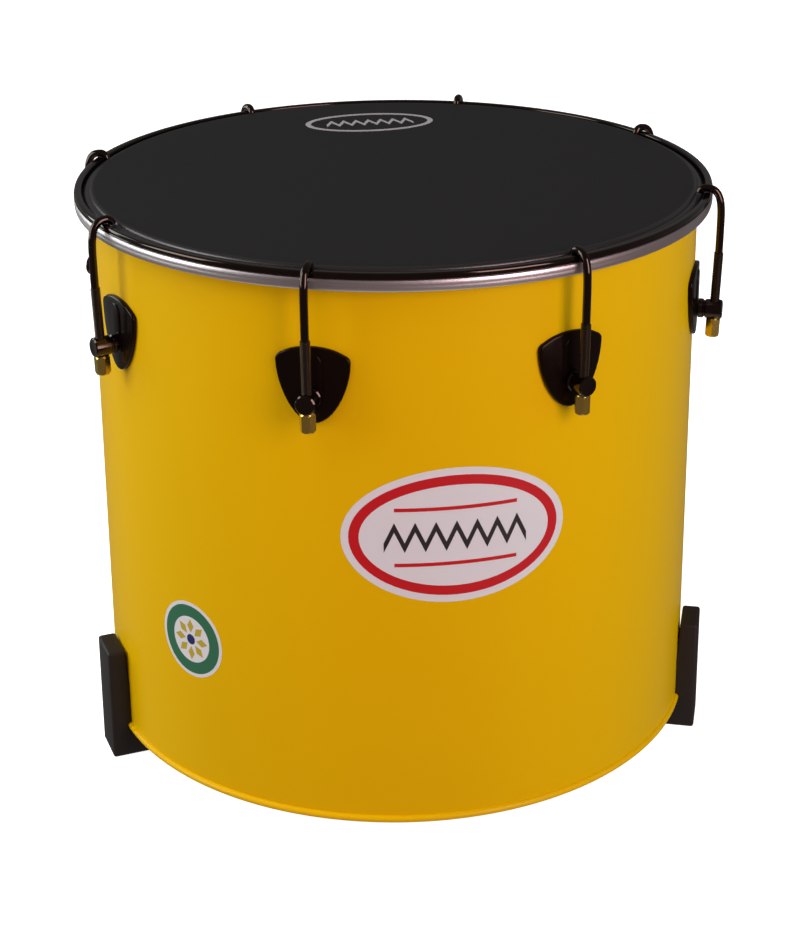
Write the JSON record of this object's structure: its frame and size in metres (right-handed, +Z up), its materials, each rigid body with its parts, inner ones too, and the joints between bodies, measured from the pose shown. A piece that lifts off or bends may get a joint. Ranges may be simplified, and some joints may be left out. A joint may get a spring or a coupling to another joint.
{
  "type": "surdo drum",
  "caption": "Deep cylindrical samba bass drum with one tensioned head, hook-and-nut lugs and an open base on rubber feet.",
  "frame": {"origin": "on the drum's axis, at the floor under the feet", "axes": "+Z up along the drum's axis, -Y towards the side with the large sticker, +X to its right"},
  "size_m": [0.534, 0.537, 0.4975],
  "materials": {
    "shell_paint": "gloss",
    "head_skin": "matte grained",
    "hoop_aluminium": "brushed",
    "black_enamel": "gloss black",
    "plate_lacquer": "gloss black",
    "nut_brass": "turned",
    "zinc_plate": "satin",
    "foot_rubber": "matte"
  },
  "bodies": {
    "drum": {"shell": "shell_paint", "head_skin": "head_skin", "flesh_hoop": "hoop_aluminium", "counter_hoop": "black_enamel", "lug_plate_1": "plate_lacquer", "lug_post_1": "black_enamel", "lug_screw_1": "zinc_plate", "lug_plate_2": "plate_lacquer", "lug_post_2": "black_enamel", "lug_screw_2": "zinc_plate", "lug_plate_3": "plate_lacquer", "lug_post_3": "black_enamel", "lug_screw_3": "zinc_plate", "lug_plate_4": "plate_lacquer", "lug_post_4": "black_enamel", "lug_screw_4": "zinc_plate", "lug_plate_5": "plate_lacquer", "lug_post_5": "black_enamel", "lug_screw_5": "zinc_plate", "lug_plate_6": "plate_lacquer", "lug_post_6": "black_enamel", "lug_screw_6": "zinc_plate", "lug_plate_7": "plate_lacquer", "lug_post_7": "black_enamel", "lug_screw_7": "zinc_plate", "lug_plate_8": "plate_lacquer", "lug_post_8": "black_enamel", "lug_screw_8": "zinc_plate", "foot_left": "foot_rubber", "foot_left_screw_lower": "zinc_plate", "foot_left_screw_upper": "zinc_plate", "foot_right": "foot_rubber", "foot_right_screw_lower": "zinc_plate", "foot_right_screw_upper": "zinc_plate", "foot_rear": "foot_rubber", "foot_rear_screw_lower": "zinc_plate", "foot_rear_screw_upper": "zinc_plate"},
    "nut_1": {"tension_nut_1": "nut_brass"},
    "hook_1": {"tension_hook_1": "black_enamel"},
    "nut_2": {"tension_nut_2": "nut_brass"},
    "hook_2": {"tension_hook_2": "black_enamel"},
    "nut_3": {"tension_nut_3": "nut_brass"},
    "hook_3": {"tension_hook_3": "black_enamel"},
    "nut_4": {"tension_nut_4": "nut_brass"},
    "hook_4": {"tension_hook_4": "black_enamel"},
    "nut_5": {"tension_nut_5": "nut_brass"},
    "hook_5": {"tension_hook_5": "black_enamel"},
    "nut_6": {"tension_nut_6": "nut_brass"},
    "hook_6": {"tension_hook_6": "black_enamel"},
    "nut_7": {"tension_nut_7": "nut_brass"},
    "hook_7": {"tension_hook_7": "black_enamel"},
    "nut_8": {"tension_nut_8": "nut_brass"},
    "hook_8": {"tension_hook_8": "black_enamel"}
  },
  "joints": [
    {"name": "hook_1_climb", "type": "slide", "parent": "drum", "child": "hook_1", "axis": [0.0349, 0.0145, 0.9993], "range_m": [0, 0.00847]},
    {"name": "nut_1_turn", "type": "hinge", "parent": "drum", "child": "nut_1", "pos_m": [0.2512, 0.10405, 0.391], "axis": [-0.0349, -0.0145, -0.9993], "range_deg": [0, 2160]},
    {"name": "hook_2_climb", "type": "slide", "parent": "drum", "child": "hook_2", "axis": [0.0145, 0.0349, 0.9993], "range_m": [0, 0.00847]},
    {"name": "nut_2_turn", "type": "hinge", "parent": "drum", "child": "nut_2", "pos_m": [0.10405, 0.2512, 0.391], "axis": [-0.0145, -0.0349, -0.9993], "range_deg": [0, 2160]},
    {"name": "hook_3_climb", "type": "slide", "parent": "drum", "child": "hook_3", "axis": [-0.0145, 0.0349, 0.9993], "range_m": [0, 0.00847]},
    {"name": "nut_3_turn", "type": "hinge", "parent": "drum", "child": "nut_3", "pos_m": [-0.10405, 0.2512, 0.391], "axis": [0.0145, -0.0349, -0.9993], "range_deg": [0, 2160]},
    {"name": "hook_4_climb", "type": "slide", "parent": "drum", "child": "hook_4", "axis": [-0.0349, 0.0145, 0.9993], "range_m": [0, 0.00847]},
    {"name": "nut_4_turn", "type": "hinge", "parent": "drum", "child": "nut_4", "pos_m": [-0.2512, 0.10405, 0.391], "axis": [0.0349, -0.0145, -0.9993], "range_deg": [0, 2160]},
    {"name": "hook_5_climb", "type": "slide", "parent": "drum", "child": "hook_5", "axis": [-0.0349, -0.0145, 0.9993], "range_m": [0, 0.00847]},
    {"name": "nut_5_turn", "type": "hinge", "parent": "drum", "child": "nut_5", "pos_m": [-0.2512, -0.10405, 0.391], "axis": [0.0349, 0.0145, -0.9993], "range_deg": [0, 2160]},
    {"name": "hook_6_climb", "type": "slide", "parent": "drum", "child": "hook_6", "axis": [-0.0145, -0.0349, 0.9993], "range_m": [0, 0.00847]},
    {"name": "nut_6_turn", "type": "hinge", "parent": "drum", "child": "nut_6", "pos_m": [-0.10405, -0.2512, 0.391], "axis": [0.0145, 0.0349, -0.9993], "range_deg": [0, 2160]},
    {"name": "hook_7_climb", "type": "slide", "parent": "drum", "child": "hook_7", "axis": [0.0145, -0.0349, 0.9993], "range_m": [0, 0.00847]},
    {"name": "nut_7_turn", "type": "hinge", "parent": "drum", "child": "nut_7", "pos_m": [0.10405, -0.2512, 0.391], "axis": [-0.0145, 0.0349, -0.9993], "range_deg": [0, 2160]},
    {"name": "hook_8_climb", "type": "slide", "parent": "drum", "child": "hook_8", "axis": [0.0349, -0.0145, 0.9993], "range_m": [0, 0.00847]},
    {"name": "nut_8_turn", "type": "hinge", "parent": "drum", "child": "nut_8", "pos_m": [0.2512, -0.10405, 0.391], "axis": [-0.0349, 0.0145, -0.9993], "range_deg": [0, 2160]}
  ],
  "couplings": [
    {"joint": "nut_1_turn", "follows": "hook_1_climb", "rad_per_m": 4452.7},
    {"joint": "nut_2_turn", "follows": "hook_2_climb", "rad_per_m": 4452.7},
    {"joint": "nut_3_turn", "follows": "hook_3_climb", "rad_per_m": 4452.7},
    {"joint": "nut_4_turn", "follows": "hook_4_climb", "rad_per_m": 4452.7},
    {"joint": "nut_5_turn", "follows": "hook_5_climb", "rad_per_m": 4452.7},
    {"joint": "nut_6_turn", "follows": "hook_6_climb", "rad_per_m": 4452.7},
    {"joint": "nut_7_turn", "follows": "hook_7_climb", "rad_per_m": 4452.7},
    {"joint": "nut_8_turn", "follows": "hook_8_climb", "rad_per_m": 4452.7}
  ]
}
